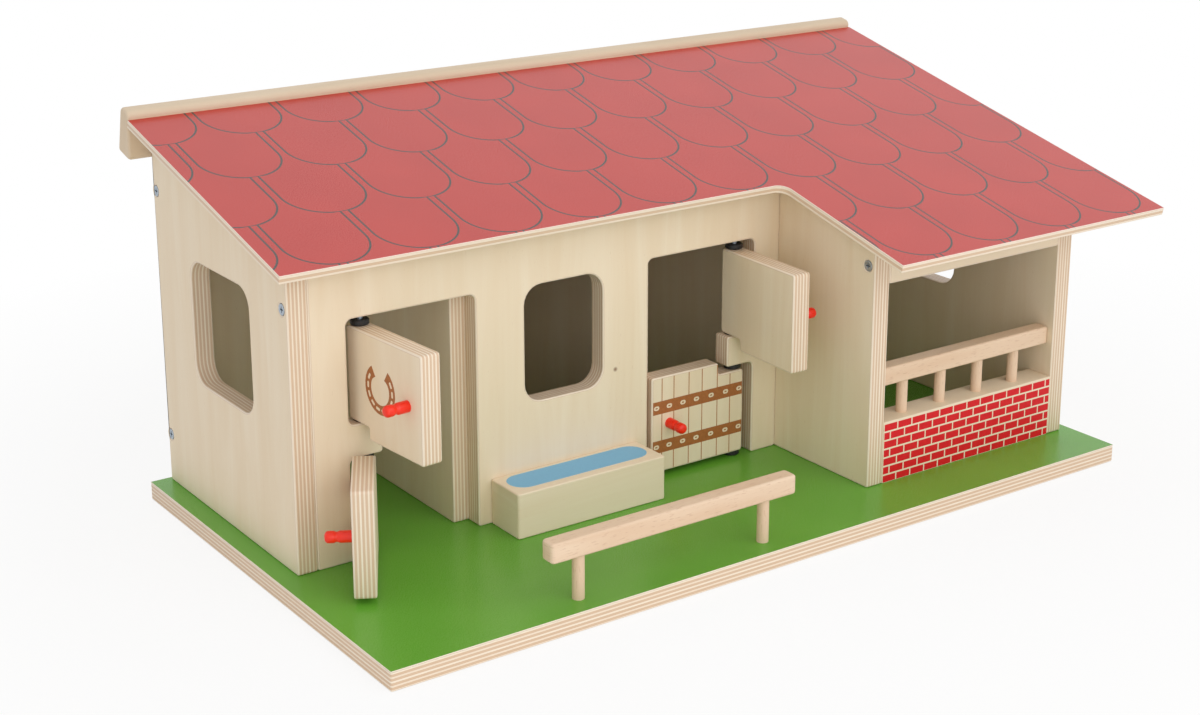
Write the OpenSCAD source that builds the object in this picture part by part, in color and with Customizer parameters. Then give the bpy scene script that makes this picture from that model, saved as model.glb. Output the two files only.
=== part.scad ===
// Wooden toy barn: a flat base with a lean-to house on it, two stable doors of two leaves each,
// an open bay with a brick front, a trough, a hitching rail and a lift-off sloping roof.
// Millimetres. The house is set out from the base's front left corner, with z = 0 at yard level,
// and the whole is then moved so that the origin is the centre of the base's underside.

/* [Base] */
// Width of the base board, left to right
base_w = 640; // [600:1:760]
// Depth of the base board, front to back
base_d = 361; // [340:1:440]
// Thickness of the base's plywood
base_t = 13; // [9:0.5:18]
// Thickness of the coloured sheet bonded to the base and to the roof
lam_t = 0.7; // [0.5:0.1:1.5]

/* [House] */
// Thickness of the walls and partitions
wall_t = 15; // [12:0.5:18]
// Thickness of the back wall
back_t = 9; // [6:0.5:15]
// Height of the front wall, from the yard to the underside of the roof
wall_h = 215.5; // [205:0.5:260]
// Base left of the house
left_inset = 15.1; // [5:0.1:30]
// Base right of the house
right_inset = 10.1; // [5:0.1:30]
// Base behind the house
back_inset = 3.7; // [0:0.1:15]
// Depth of the yard, from the base's front edge to the front wall
yard_d = 150.8; // [135:0.1:165]
// Base in front of the open bay
bay_setback = 45.6; // [30:0.1:70]
// Clear width of the open bay
bay_w = 175.2; // [140:0.1:190]

/* [Doorways] */
// Width of each doorway
door_w = 99; // [90:0.5:110]
// Height of each doorway
door_h = 170.5; // [150:0.5:180]
// Rounding of a doorway's upper corners
door_corner_r = 5; // [3:0.5:12]
// Front wall left of the left doorway
door_margin_left = 26.9; // [20:0.1:35]
// Front wall right of the right doorway
door_margin_right = 23.7; // [20:0.1:35]
// How far a partition stands into its doorway, behind the free edges of the leaves
door_lap = 11.6; // [6:0.1:13]
// How far the hinge lug stands out of the jamb
lug_w = 24.5; // [20:0.5:30]
// Height of the hinge lug
lug_h = 23.5; // [16:0.5:28]
// Rounding of the inner corners between the lug and the jamb
lug_r = 4.5; // [2:0.5:4.5]

/* [Door leaves] */
// Thickness of a leaf
leaf_t = 15; // [12:0.5:15.5]
// Distance from the jamb to the hinge rod
pin_inset = 14.1; // [13.5:0.1:18]
// Radius of the hinge rod
pin_r = 2; // [1.5:0.1:2.5]
// Leaf beyond the hinge rod, on the hinge side
hinge_margin = 5; // [4:0.1:6]
// Gap between a leaf's free edge and the jamb
door_gap = 3.8; // [2:0.1:5]
// Gap between a shut leaf and the partition that stops it
stop_gap = 0.3; // [0.2:0.1:1]
// Height of a leaf
leaf_h = 74.6; // [72:0.1:75.5]
// Width of the notch that clears the hinge lug
notch_w = 23.8; // [21.5:0.1:28]
// Radius of the black washers on the hinge rods
washer_r = 6.5; // [5:0.1:7]
// Thickness of a washer
washer_t = 3.8; // [2:0.1:5]
// Thickness of the thin washer that the upper leaf rests on, on the lug
thin_washer_t = 0.8; // [0.5:0.1:1.5]
// Play between a washer and a leaf
washer_play = 0.2; // [0.1:0.05:0.5]
// Gap between a rod and the holes it runs in
rod_fit = 0.05; // [0.02:0.01:0.1]
// How far a rod reaches into the lintel
rod_in = 15; // [10:1:25]
// Opening angle of the upper left leaf, outwards from shut
angle_upper_left = 85.5; // [0:0.5:120]
// Opening angle of the lower left leaf
angle_lower_left = 119.5; // [0:0.5:120]
// Opening angle of the upper right leaf
angle_upper_right = 88; // [0:1:95]
// Opening angle of the lower right leaf
angle_lower_right = 0; // [0:1:95]

/* [Door pegs] */
// Radius of the peg that a leaf is pulled by
peg_r = 4; // [3:0.1:6]
// Length of peg in front of the leaf
peg_out = 18; // [12:0.5:20]
// Depth of the peg's hole in the leaf
peg_in = 10; // [6:0.5:11]
// Distance from the leaf's free edge to the peg's centre
peg_inset = 16.3; // [10:0.1:25]
// Rounding of the peg's end
peg_round = 2.8; // [1:0.1:2.8]
// Depth of the groove round the peg, and half its width
peg_groove = 0.8; // [0.4:0.1:1.2]
// Distance from the peg's end to the groove's middle
peg_groove_at = 8; // [4.5:0.1:9]

/* [Windows] */
// Width of the front window
win_w = 66.5; // [50:0.5:80]
// Height of the front window
win_h = 85.5; // [60:0.5:95]
// Height of the front window's sill
win_z = 83; // [70:0.5:95]
// Corner radius of the front window
win_r = 14; // [8:0.5:18]
// Width of the windows in the side walls
side_win_w = 92.7; // [70:0.5:110]
// Height of the windows in the side walls
side_win_h = 90; // [70:0.5:100]
// Height of the side windows' sills
side_win_z = 94; // [80:0.5:100]
// Corner radius of the side windows
side_win_r = 15; // [8:0.5:20]

/* [Open bay] */
// Height of the bay's opening, up to the header
bay_open_h = 154; // [130:0.5:165]
// Thickness of the brick-faced board
brick_t = 22.7; // [18:0.1:26]
// Height of the brick-faced board
brick_h = 48; // [35:0.5:60]
// Length of baluster between the board and the rail
baluster_h = 25.7; // [18:0.1:35]
// Number of balusters
baluster_n = 4; // [2:1:4]
// Distance from the bay wall to the first baluster's centre
baluster_first = 27.3; // [15:0.1:35]
// Distance between balusters
baluster_pitch = 38.8; // [25:0.1:42]
// Thickness of the bay's rail and of the hitching bar
rail_t = 13; // [12:0.5:18]
// Height of the bay's rail and of the hitching bar
rail_h = 14; // [12:0.5:20]
// Radius of the dowels under both rails
dowel_r = 4.2; // [3:0.1:5.5]
// Depth of a dowel's hole at each end
dowel_in = 8; // [5:0.5:10]
// Gap between a glued dowel or peg and the side of its hole
dowel_fit = 0.05; // [0.02:0.01:0.2]

/* [Yard] */
// Width of the trough
trough_w = 126; // [80:1:140]
// Depth of the trough, out from the front wall
trough_d = 35.4; // [25:0.1:40]
// Height of the trough
trough_h = 33.5; // [25:0.5:50]
// Length of the hitching bar
hitch_w = 202.3; // [170:0.1:240]
// Distance from the base's front edge to the middle of the hitching bar
hitch_y = 18; // [10:0.5:35]
// Distance from the middle between the doorways, leftwards, to the hitching bar's middle
hitch_shift = 3.3; // [0:0.1:20]
// Height of the gap under the hitching bar
hitch_clear = 31.4; // [20:0.1:50]
// Distance between the hitching posts
hitch_pitch = 153.9; // [120:0.1:160]

/* [Roof] */
// Pitch of the roof in degrees
roof_pitch = 14; // [10:0.5:18]
// Gap between the tops of the walls and the roof that lies on them
roof_seat = 0.15; // [0.1:0.05:0.4]
// Thickness of the roof's plywood
roof_t = 5.2; // [4:0.1:6]
// Roof beyond the left wall
roof_left = 15.1; // [5:0.1:30]
// Roof beyond the right wall
roof_right = 48.6; // [20:0.1:60]
// Eave in front of the front wall, along the slope
eave_main = 22.9; // [15:0.1:40]
// Eave in front of the open bay, along the slope
eave_bay = 45.8; // [20:0.1:60]
// Roof left of the bay wall, where the eave steps forward
eave_step = 16.9; // [5:0.1:30]
// Rounding inside the eave's step
eave_step_r = 9; // [4:0.5:14]
// Roof behind the walls, along the slope
roof_back = 4; // [3:0.1:8]
// Thickness of the ridge board, above the roof
ridge_t = 14.1; // [12:0.1:20]
// Ridge board above the roof's surface
ridge_up = 5.3; // [3:0.1:12]
// Ridge board below the roof's surface
ridge_down = 29.7; // [20:0.1:40]
// Depth of the groove that holds the roof in the ridge board
ridge_groove = 5; // [3:0.5:7]
// Gap round the roof's edge in that groove
groove_fit = 0.1; // [0.05:0.05:0.3]

/* [Screws] */
// Radius of a screw's shank
screw_r = 1.75; // [1.25:0.05:2]
// Radius of a screw's head
screw_head_r = 3.9; // [3:0.1:4.2]
// Height of a screw's countersunk head
screw_head_h = 2.4; // [1.5:0.1:3]
// Length of a screw
screw_len = 35; // [28:1:40]
// Gap between a screw and its hole
screw_fit = 0.1; // [0.05:0.05:0.2]
// Height of the lower screws in the walls
screw_low = 36.9; // [25:0.5:50]
// Distance from the top of the walls down to the front upper screws
screw_drop_front = 32; // [15:0.5:40]
// Distance from the top of the walls down to the back upper screws
screw_drop_back = 43; // [20:0.5:60]
// Height of the header's screws above its lower edge
screw_header = 14.3; // [8:0.1:18]
// Distance from a wall's end to the nearest screw under the base
screw_end = 30; // [20:1:40]
// Depth of the screw heads below the base's underside
screw_sunk = 0.5; // [0.3:0.1:1]

/* [Hidden] */
// Overshoot of a cut past the surface that it opens
eps = 1;
// Smoothness of round pieces and corners
$fn = 64;

plywood = [0.86, 0.78, 0.66];
beech = [0.88, 0.74, 0.62];
green = [0.44, 0.64, 0.22];
roof_red = [0.80, 0.27, 0.25];
brick_red = [0.86, 0.16, 0.12];
peg_red = [0.88, 0.12, 0.08];
zinc = [0.62, 0.66, 0.70];
black = [0.08, 0.08, 0.08];

// Faces of the walls, left to right
left_x0 = left_inset;
left_x1 = left_x0 + wall_t;
right_x1 = base_w - right_inset;
right_x0 = right_x1 - wall_t;
bay_x1 = right_x0 - bay_w;
bay_x0 = bay_x1 - wall_t;
// Faces of the walls, front to back
bay_y0 = bay_setback;
bay_y1 = bay_y0 + wall_t;
front_y0 = yard_d;
front_y1 = front_y0 + wall_t;
back_y1 = base_d - back_inset;
back_y0 = back_y1 - back_t;

// Hinge jambs, free jambs and the middle between the doorways
jamb_left = left_x1 + door_margin_left;
jamb_right = bay_x0 - door_margin_right;
free_left = jamb_left + door_w;
free_right = jamb_right - door_w;
front_mid = (free_left + free_right) / 2;
part_left_x = free_left - door_lap;
part_right_x = free_right + door_lap - wall_t;

// The hinge rods, and the leaves' sizes from the doorway's
pin_y = front_y1 - stop_gap - leaf_t / 2;
leaf_reach = door_w - pin_inset - door_gap;
lug_z0 = (door_h - lug_h) / 2;
lug_z1 = lug_z0 + lug_h;
leaf_z0 = washer_t + washer_play;
notch_d = leaf_z0 + leaf_h - (lug_z0 - washer_t - washer_play);
upper_top = lug_z1 + thin_washer_t + washer_play - notch_d + leaf_h;

// The washers, foot and thickness: on the base, under and on the lug, and on the upper leaf
washer_levels = [
    [0, washer_t], [lug_z0 - washer_t, washer_t],
    [lug_z1, thin_washer_t], [upper_top + washer_play, washer_t]
];

// The roof: positions along the slope start above the front wall's face
roof_total = roof_t + lam_t;
slope_main = -eave_main;
slope_bay = (bay_y0 - front_y0) / cos(roof_pitch) - eave_bay;
slope_back = (back_y1 - front_y0) / cos(roof_pitch) + roof_back;
roof_x0 = left_x0 - roof_left;
roof_x1 = right_x1 + roof_right;
step_x = bay_x0 - eave_step;

function roof_z(y) = wall_h + tan(roof_pitch) * (y - front_y0);
function baluster_x(i) = bay_x1 + baluster_first + i * baluster_pitch;
function two_along(a, b) = [a + screw_end, b - screw_end];

// Screws through the side walls and the bay wall: face, direction, distance back and height
front_mid_y = (front_y0 + front_y1) / 2;
back_mid_y = (back_y0 + back_y1) / 2;
header_y = (bay_y0 + bay_y1) / 2;
front_screw_z = roof_z(front_y0) - screw_drop_front;
back_screw_z = roof_z(back_y0) - screw_drop_back;
header_screw_z = bay_open_h + screw_header;
side_screw_spots = [
    [left_x0, 1, front_mid_y, front_screw_z],
    [left_x0, 1, back_mid_y, back_screw_z],
    [left_x0, 1, back_mid_y, screw_low],
    [bay_x0, 1, header_y, header_screw_z],
    [bay_x1, -1, front_mid_y, front_screw_z],
    [bay_x1, -1, front_mid_y, screw_low],
    [right_x1, -1, header_y, header_screw_z],
    [right_x1, -1, back_mid_y, back_screw_z],
    [right_x1, -1, back_mid_y, screw_low]
];

// Walls that run front to back: the middle of each and the stretch that it covers
runs_back = [
    [left_x0 + wall_t / 2, front_y0, back_y1],
    [part_left_x + wall_t / 2, front_y1, back_y0],
    [part_right_x + wall_t / 2, front_y1, back_y0],
    [bay_x0 + wall_t / 2, bay_y0, back_y0],
    [right_x0 + wall_t / 2, bay_y0, back_y1]
];
// Pieces that run left to right: the middle of each and the stretch that it covers
runs_across = [
    [front_mid_y, free_left, free_right],
    [back_mid_y, left_x1, right_x0],
    [bay_y0 + brick_t / 2, bay_x1, right_x0],
    [front_y0 - trough_d / 2, front_mid - trough_w / 2, front_mid + trough_w / 2]
];
base_screw_spots = concat(
    [for (run = runs_back) for (y = two_along(run[1], run[2])) [run[0], y]],
    [for (run = runs_across) for (x = two_along(run[1], run[2])) [x, run[0]]]
);

// Moves the set-out frame to the part's own frame
module set_out() {
    translate([-base_w / 2, -base_d / 2, base_t + lam_t]) children();
}

// A profile drawn in y and z, given its width along x
module across(x0, x1) {
    translate([x0, 0, 0]) rotate([90, 0, 90]) linear_extrude(x1 - x0) children();
}

// A profile drawn in x and z, given its depth from y0 to y1
module through(y0, y1) {
    translate([0, y1, 0]) rotate([90, 0, 0]) linear_extrude(y1 - y0) children();
}

// An upright board from x0 to x1 and y0 to y1, cut off under the roof
module under_roof(x0, x1, y0, y1, z0 = 0) {
    across(x0, x1) polygon([[y0, z0], [y1, z0], [y1, roof_z(y1)], [y0, roof_z(y0)]]);
}

// A rectangle with four round corners, centred left to right on x = 0
module round_window(w, h, r) {
    translate([-w / 2 + r, 0]) square([w - 2 * r, h]);
    translate([-w / 2, r]) square([w, h - 2 * r]);
    for (x = [-w / 2 + r, w / 2 - r]) for (z = [r, h - r]) translate([x, z]) circle(r);
}

// A doorway's outline from its hinge jamb, less the lug that carries the leaves
module doorway_outline() {
    difference() {
        union() {
            translate([0, -eps]) square([door_w, door_h - door_corner_r + eps]);
            translate([door_corner_r, 0]) square([door_w - 2 * door_corner_r, door_h]);
            for (x = [door_corner_r, door_w - door_corner_r]) {
                translate([x, door_h - door_corner_r]) circle(door_corner_r);
            }
        }
        translate([-eps, lug_z0]) square([lug_w + eps, lug_h]);
        difference() {
            translate([-eps, lug_z0 - lug_r]) square([lug_r + eps, lug_h + 2 * lug_r]);
            for (z = [lug_z0 - lug_r, lug_z1 + lug_r]) translate([lug_r, z]) circle(lug_r);
        }
    }
}

// Puts its children at a doorway, with x running from the hinge jamb into the doorway
module at_doorways(left = true, right = true) {
    if (left) translate([jamb_left, 0, 0]) children();
    if (right) translate([jamb_right, 0, 0]) mirror([1, 0, 0]) children();
}

// A vertical rod at the hinge line of a doorway
module hinge_line(r, z0, z1) {
    translate([pin_inset, pin_y, z0]) cylinder(r = r, h = z1 - z0);
}

// A countersunk screw that points up z, with its head's face at z = 0
module screw(fit = 0) {
    translate([0, 0, fit > 0 ? -eps : 0]) cylinder(r = screw_head_r + fit, h = fit > 0 ? eps : 0.2);
    cylinder(r1 = screw_head_r + fit, r2 = screw_r + fit, h = screw_head_h + fit);
    cylinder(r = screw_r + fit, h = screw_len + fit);
}

module side_screw_set(fit = 0) {
    for (s = side_screw_spots) translate([s[0], s[2], s[3]]) rotate([0, 90 * s[1], 0]) screw(fit);
}

module back_screw_set(fit = 0) {
    for (x = [part_left_x, part_right_x, bay_x0]) for (z = [screw_low, back_screw_z]) {
        translate([x + wall_t / 2, back_y1, z]) rotate([90, 0, 0]) screw(fit);
    }
}

module base_screw_set(fit = 0) {
    for (s = base_screw_spots) {
        translate([s[0], s[1], screw_sunk - base_t - lam_t]) screw(fit);
    }
}

module baluster_set(fit = 0) {
    for (i = [0 : baluster_n - 1]) translate([baluster_x(i), bay_y0 + brick_t / 2, brick_h - dowel_in]) {
        cylinder(r = dowel_r + fit, h = baluster_h + 2 * dowel_in);
    }
}

module post_set(fit = 0) {
    for (side = [-1, 1]) translate([front_mid - hitch_shift + side * hitch_pitch / 2, hitch_y, -dowel_in]) {
        cylinder(r = dowel_r + fit, h = hitch_clear + 2 * dowel_in);
    }
}

// Cuts every screw's hole out of its child
module drilled(side = false, back = false, base = false) {
    difference() {
        children();
        if (side) side_screw_set(screw_fit);
        if (back) back_screw_set(screw_fit);
        if (base) base_screw_set(screw_fit);
    }
}

module base_board() {
    color(plywood) set_out() drilled(base = true) difference() {
        translate([0, 0, -base_t - lam_t]) cube([base_w, base_d, base_t]);
        at_doorways() hinge_line(pin_r + rod_fit, -base_t, eps);
        post_set(dowel_fit);
    }
}

module base_laminate() {
    color(green) set_out() drilled(base = true) difference() {
        translate([0, 0, -lam_t]) cube([base_w, base_d, lam_t]);
        at_doorways() hinge_line(pin_r + rod_fit, -lam_t - eps, eps);
        post_set(dowel_fit);
    }
}

// A side wall with a round-cornered window in the middle of its length
module side_wall(x0, y0) {
    drilled(side = true, base = true) difference() {
        under_roof(x0, x0 + wall_t, y0, back_y1);
        translate([0, (y0 + back_y1) / 2, side_win_z]) across(x0 - eps, x0 + wall_t + eps) {
            round_window(side_win_w, side_win_h, side_win_r);
        }
    }
}

module left_wall() {
    color(plywood) set_out() side_wall(left_x0, front_y0);
}

module right_wall() {
    color(plywood) set_out() side_wall(right_x0, bay_y0);
}

module front_wall() {
    color(plywood) set_out() drilled(side = true, base = true) difference() {
        under_roof(left_x1, bay_x0, front_y0, front_y1);
        at_doorways() through(front_y0 - eps, front_y1 + eps) doorway_outline();
        translate([front_mid, 0, win_z]) through(front_y0 - eps, front_y1 + eps) {
            round_window(win_w, win_h, win_r);
        }
        at_doorways() hinge_line(pin_r + rod_fit, lug_z0 - eps, door_h + rod_in);
    }
}

module partition_left() {
    color(plywood) set_out() drilled(back = true, base = true) {
        under_roof(part_left_x, part_left_x + wall_t, front_y1, back_y0);
    }
}

module partition_right() {
    color(plywood) set_out() drilled(back = true, base = true) {
        under_roof(part_right_x, part_right_x + wall_t, front_y1, back_y0);
    }
}

module bay_wall() {
    color(plywood) set_out() drilled(side = true, back = true, base = true) {
        under_roof(bay_x0, bay_x1, bay_y0, back_y0);
    }
}

module back_wall() {
    color(plywood) set_out() drilled(side = true, back = true, base = true) {
        under_roof(left_x1, right_x0, back_y0, back_y1);
    }
}

module bay_header() {
    color(plywood) set_out() drilled(side = true) {
        under_roof(bay_x1, right_x0, bay_y0, bay_y1, bay_open_h);
    }
}

module brick_board() {
    color(brick_red) set_out() drilled(base = true) difference() {
        translate([bay_x1, bay_y0, 0]) cube([bay_w, brick_t, brick_h]);
        baluster_set(dowel_fit);
    }
}

module bay_balusters() {
    color(beech) set_out() baluster_set();
}

module bay_rail() {
    color(beech) set_out() difference() {
        translate([bay_x1, bay_y0 + (brick_t - rail_t) / 2, brick_h + baluster_h]) {
            cube([bay_w, rail_t, rail_h]);
        }
        baluster_set(dowel_fit);
    }
}

module trough() {
    color(plywood) set_out() drilled(base = true) {
        translate([front_mid - trough_w / 2, front_y0 - trough_d, 0]) cube([trough_w, trough_d, trough_h]);
    }
}

module hitch_posts() {
    color(beech) set_out() post_set();
}

module hitch_bar() {
    color(beech) set_out() difference() {
        translate([front_mid - hitch_shift - hitch_w / 2, hitch_y - rail_t / 2, hitch_clear]) {
            cube([hitch_w, rail_t, rail_h]);
        }
        post_set(dowel_fit);
    }
}

// Puts its children on the roof's slope: x across, y up the slope, z square to it
module on_slope() {
    translate([0, front_y0, wall_h + roof_seat]) rotate([roof_pitch, 0, 0]) children();
}

// The roof's outline, stepped forward over the bay, up to a line along the slope
module roof_outline(slope_end) {
    translate([roof_x0, slope_main]) square([roof_x1 - roof_x0, slope_end - slope_main]);
    translate([step_x, slope_bay]) square([roof_x1 - step_x, slope_main - slope_bay]);
    difference() {
        translate([step_x - eave_step_r, slope_main - eave_step_r]) square(eave_step_r);
        translate([step_x - eave_step_r, slope_main - eave_step_r]) circle(eave_step_r);
    }
}

module roof_panel() {
    color(plywood) set_out() on_slope() {
        linear_extrude(roof_t) roof_outline(slope_back + ridge_groove - groove_fit);
    }
}

module roof_laminate() {
    color(roof_red) set_out() on_slope() {
        translate([0, 0, roof_t]) linear_extrude(lam_t) roof_outline(slope_back);
    }
}

// Below the roof, the ridge board's front face is planed upright, along the back wall
module ridge_board() {
    top = roof_total + ridge_up;
    bottom = roof_total - ridge_down;
    color(plywood) set_out() on_slope() difference() {
        across(roof_x0, roof_x1) polygon([
            [slope_back, -groove_fit], [slope_back, top],
            [slope_back + ridge_t, top], [slope_back + ridge_t, bottom],
            [slope_back + (bottom + groove_fit) * tan(roof_pitch), bottom]
        ]);
        translate([roof_x0 - eps, slope_back - eps, -groove_fit]) {
            cube([roof_x1 - roof_x0 + 2 * eps, ridge_groove + eps, roof_t + 2 * groove_fit]);
        }
    }
}

module hinge_rod_left() {
    color(zinc) set_out() at_doorways(right = false) hinge_line(pin_r, -base_t, door_h + rod_in);
}

module hinge_rod_right() {
    color(zinc) set_out() at_doorways(left = false) hinge_line(pin_r, -base_t, door_h + rod_in);
}

module hinge_washers() {
    color(black) set_out() at_doorways() for (w = washer_levels) difference() {
        hinge_line(washer_r, w[0], w[0] + w[1]);
        hinge_line(pin_r + rod_fit, w[0] - eps, w[0] + w[1] + eps);
    }
}

// Puts its children at a leaf's hinge line, turned outwards by an angle. The upper leaf is
// the lower one turned over, so that both notches face the lug.
module at_leaf(angle, upper) {
    translate([pin_inset, pin_y, upper ? upper_top : leaf_z0]) rotate([0, 0, -angle]) {
        mirror([0, 0, upper ? 1 : 0]) children();
    }
}

module peg_place() {
    translate([leaf_reach - peg_inset, -leaf_t / 2 + peg_in, leaf_h / 2]) rotate([90, 0, 0]) children();
}

module leaf() {
    difference() {
        translate([-hinge_margin, -leaf_t / 2, 0]) cube([hinge_margin + leaf_reach, leaf_t, leaf_h]);
        translate([-hinge_margin - eps, -leaf_t / 2 - eps, leaf_h - notch_d]) {
            cube([notch_w + eps, leaf_t + 2 * eps, notch_d + eps]);
        }
        translate([0, 0, -eps]) cylinder(r = pin_r + rod_fit, h = leaf_h + 2 * eps);
        peg_place() cylinder(r = peg_r + dowel_fit, h = peg_in + eps);
    }
}

// A turned peg with a groove near its rounded end
module peg() {
    peg_l = peg_in + peg_out;
    groove_z = peg_l - peg_groove_at;
    peg_place() rotate_extrude() polygon(concat(
        [[0, 0], [peg_r, 0], [peg_r, groove_z - peg_groove], [peg_r - peg_groove, groove_z]],
        [[peg_r, groove_z + peg_groove]],
        [for (a = [0 : 15 : 90]) [peg_r - peg_round * (1 - cos(a)), peg_l - peg_round * (1 - sin(a))]],
        [[0, peg_l]]
    ));
}

module leaf_upper_left() {
    color(plywood) set_out() at_doorways(right = false) at_leaf(angle_upper_left, true) leaf();
}

module leaf_lower_left() {
    color(plywood) set_out() at_doorways(right = false) at_leaf(angle_lower_left, false) leaf();
}

module leaf_upper_right() {
    color(plywood) set_out() at_doorways(left = false) at_leaf(angle_upper_right, true) leaf();
}

module leaf_lower_right() {
    color(plywood) set_out() at_doorways(left = false) at_leaf(angle_lower_right, false) leaf();
}

module peg_upper_left() {
    color(peg_red) set_out() at_doorways(right = false) at_leaf(angle_upper_left, true) peg();
}

module peg_lower_left() {
    color(peg_red) set_out() at_doorways(right = false) at_leaf(angle_lower_left, false) peg();
}

module peg_upper_right() {
    color(peg_red) set_out() at_doorways(left = false) at_leaf(angle_upper_right, true) peg();
}

module peg_lower_right() {
    color(peg_red) set_out() at_doorways(left = false) at_leaf(angle_lower_right, false) peg();
}

module side_screws() {
    color(zinc) set_out() side_screw_set();
}

module back_screws() {
    color(zinc) set_out() back_screw_set();
}

module base_screws() {
    color(zinc) set_out() base_screw_set();
}

base_board();
base_laminate();
left_wall();
front_wall();
partition_left();
partition_right();
bay_wall();
right_wall();
back_wall();
bay_header();
brick_board();
bay_balusters();
bay_rail();
trough();
hitch_posts();
hitch_bar();
roof_panel();
roof_laminate();
ridge_board();
hinge_rod_left();
hinge_rod_right();
hinge_washers();
leaf_upper_left();
leaf_lower_left();
leaf_upper_right();
leaf_lower_right();
peg_upper_left();
peg_lower_left();
peg_upper_right();
peg_lower_right();
side_screws();
back_screws();
base_screws();
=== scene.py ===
# The look of a wooden toy barn: birch plywood with rounded edges, printed laminate on the base
# and the roof, brown and blue prints, red pegs and zinc screws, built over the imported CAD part.
import math

import bmesh
import bpy
from mathutils import Matrix, Vector


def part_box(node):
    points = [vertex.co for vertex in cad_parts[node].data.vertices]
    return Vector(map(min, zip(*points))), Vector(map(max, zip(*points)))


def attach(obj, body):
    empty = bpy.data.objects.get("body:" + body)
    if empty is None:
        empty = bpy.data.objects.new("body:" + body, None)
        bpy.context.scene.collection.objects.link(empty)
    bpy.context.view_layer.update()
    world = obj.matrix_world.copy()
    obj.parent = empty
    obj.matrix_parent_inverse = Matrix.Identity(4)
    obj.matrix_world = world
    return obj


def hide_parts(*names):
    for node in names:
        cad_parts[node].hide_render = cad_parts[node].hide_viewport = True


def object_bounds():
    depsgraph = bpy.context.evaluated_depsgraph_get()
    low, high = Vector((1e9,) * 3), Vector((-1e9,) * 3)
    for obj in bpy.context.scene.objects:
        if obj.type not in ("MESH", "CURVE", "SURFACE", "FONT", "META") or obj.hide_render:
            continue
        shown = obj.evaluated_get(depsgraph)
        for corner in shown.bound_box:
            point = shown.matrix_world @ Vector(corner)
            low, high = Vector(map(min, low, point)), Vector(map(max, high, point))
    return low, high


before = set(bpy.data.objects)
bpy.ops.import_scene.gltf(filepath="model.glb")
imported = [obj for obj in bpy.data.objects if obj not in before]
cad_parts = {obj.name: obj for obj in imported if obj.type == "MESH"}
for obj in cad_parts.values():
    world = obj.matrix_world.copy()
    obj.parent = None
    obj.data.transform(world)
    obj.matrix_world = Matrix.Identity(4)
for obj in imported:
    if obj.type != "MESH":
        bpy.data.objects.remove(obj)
cad_box = [list(corner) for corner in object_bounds()]


# The base: a 13 mm birch plywood board with a thin green laminate bonded to its top, a pale line
# at its edge. Everything stands on it and is screwed to it from below. Pieces are placed in
# millimetres from the base's front left corner, with z = 0 on the laminate.
BASE_CORNER = Vector((*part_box("base_laminate")[0].xy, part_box("base_laminate")[1].z))
ACROSS = (1, 0, 0)
BACK = (0, 1, 0)
UP = (0, 0, 1)


def span(node):
    """A CAD node's box: x0, x1, y0, y1, z0 and z1 in millimetres from the base's corner."""
    low, high = [(corner - BASE_CORNER) * 1000 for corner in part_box(node)]
    return low.x, high.x, low.y, high.y, low.z, high.z


def place(origin, u, v):
    """The matrix that puts a drawing in u and v, facing w = u x v, at a point in millimetres."""
    w = Vector(u).cross(Vector(v))
    turn = Matrix((Vector(u), Vector(v), w)).transposed().to_4x4()
    return Matrix.Translation(BASE_CORNER) @ Matrix.Scale(0.001, 4) @ Matrix.Translation(origin) @ turn


def arc(cx, cy, radius, start, end, steps=6):
    """Points on a circle between two angles in degrees."""
    turns = [math.radians(start + (end - start) * i / steps) for i in range(steps + 1)]
    return [(cx + radius * math.cos(a), cy + radius * math.sin(a)) for a in turns]


def rectangle(u0, u1, v0, v1):
    return [(u0, v0), (u1, v0), (u1, v1), (u0, v1)]


def round_rectangle(u0, u1, v0, v1, r):
    return [
        *arc(u1 - r, v0 + r, r, -90, 0),
        *arc(u1 - r, v1 - r, r, 0, 90),
        *arc(u0 + r, v1 - r, r, 90, 180),
        *arc(u0 + r, v0 + r, r, 180, 270),
    ]


def soften(outline, radius):
    """The outline with its sharp corners rounded."""
    made = []
    for i, point in enumerate(outline):
        here = Vector(point)
        back = Vector(outline[i - 1]) - here
        on = Vector(outline[(i + 1) % len(outline)]) - here
        turn = math.pi - back.angle(on)
        if turn < math.radians(20):
            made.append(here)
            continue
        cut = min(radius * math.tan(turn / 2), back.length * 0.45, on.length * 0.45)
        start = here + back.normalized() * cut
        end = here + on.normalized() * cut
        for t in (0, 1 / 3, 2 / 3, 1):
            made.append(start * (1 - t) ** 2 + here * 2 * t * (1 - t) + end * t**2)
    return made


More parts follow.
